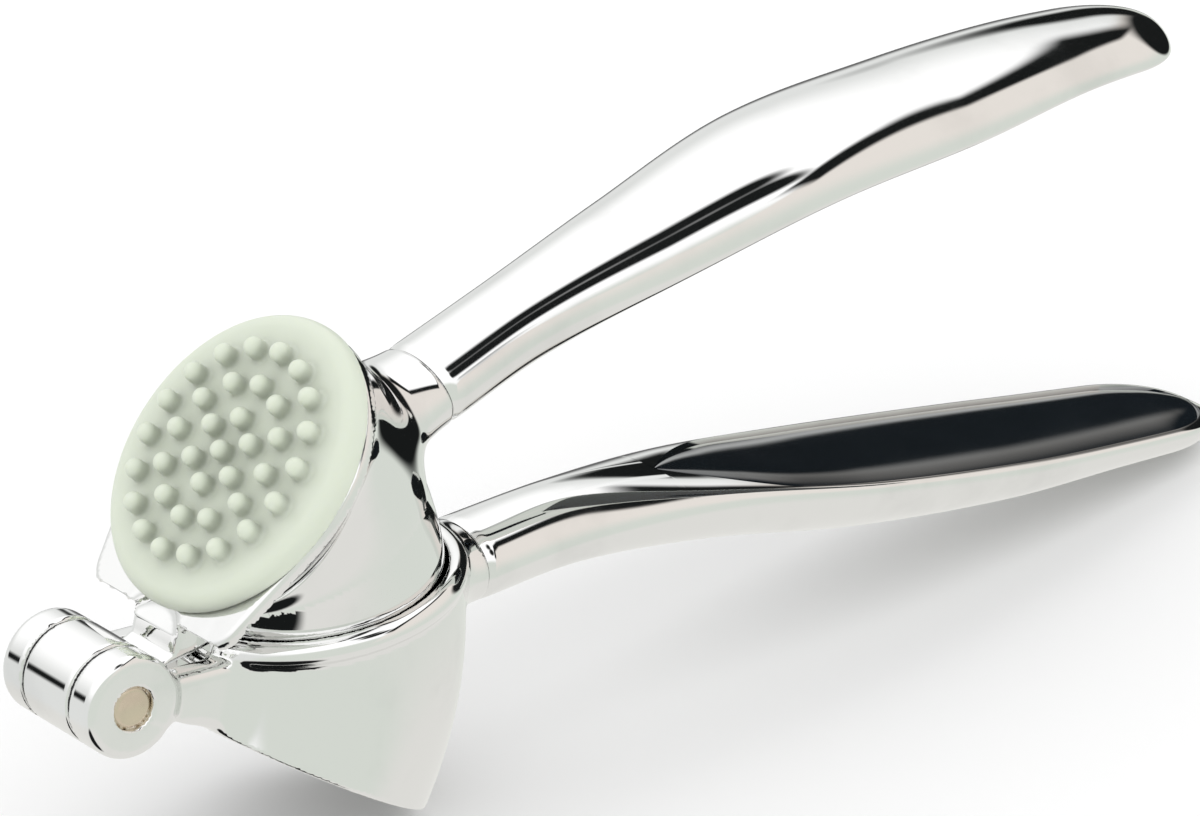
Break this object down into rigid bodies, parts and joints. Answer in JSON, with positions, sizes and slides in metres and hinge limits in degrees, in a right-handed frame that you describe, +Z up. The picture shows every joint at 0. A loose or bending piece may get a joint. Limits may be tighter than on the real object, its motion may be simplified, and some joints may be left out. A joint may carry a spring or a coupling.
{
  "type": "garlic press",
  "caption": "Hand garlic press: two arms hinged at one end, a round plunger that enters a perforated hopper, and a nubbed cleaner pad on the plunger's back.",
  "frame": {"origin": "under the middle of the press as it rests on the hopper's lower edge and the lower grip, at the height of those rests", "axes": "+X from the hinge towards the grips, +Y along the hinge pin, +Z up"},
  "size_m": [0.185, 0.0398, 0.0698],
  "materials": {
    "chrome_casting": "polished chrome plate over a zinc casting",
    "sieve_steel": "satin stainless sheet",
    "pin_metal": "warm dull metal, formed ends",
    "stud_steel": "plain threaded steel",
    "washer_plastic": "dark thin washer",
    "cleaner_plastic": "pale green-white translucent moulding",
    "grip_black": "glossy black inlay"
  },
  "bodies": {
    "lower_arm": {"hopper_body": "chrome_casting", "sieve_plate": "sieve_steel", "lower_handle": "chrome_casting", "lower_grip_inlay": "grip_black", "lower_handle_stud": "stud_steel", "hinge_pin": "pin_metal", "hinge_washers": "washer_plastic"},
    "upper_arm": {"plunger_head": "chrome_casting", "cleaner_disc": "cleaner_plastic", "upper_handle": "chrome_casting", "upper_grip_inlay": "grip_black", "upper_handle_stud": "stud_steel"}
  },
  "joints": [
    {"name": "arm_hinge", "type": "hinge", "parent": "lower_arm", "child": "upper_arm", "pos_m": [-0.0858, 0, 0.03149], "axis": [0, -1, 0], "range_deg": [-10.5, 279.4]}
  ]
}
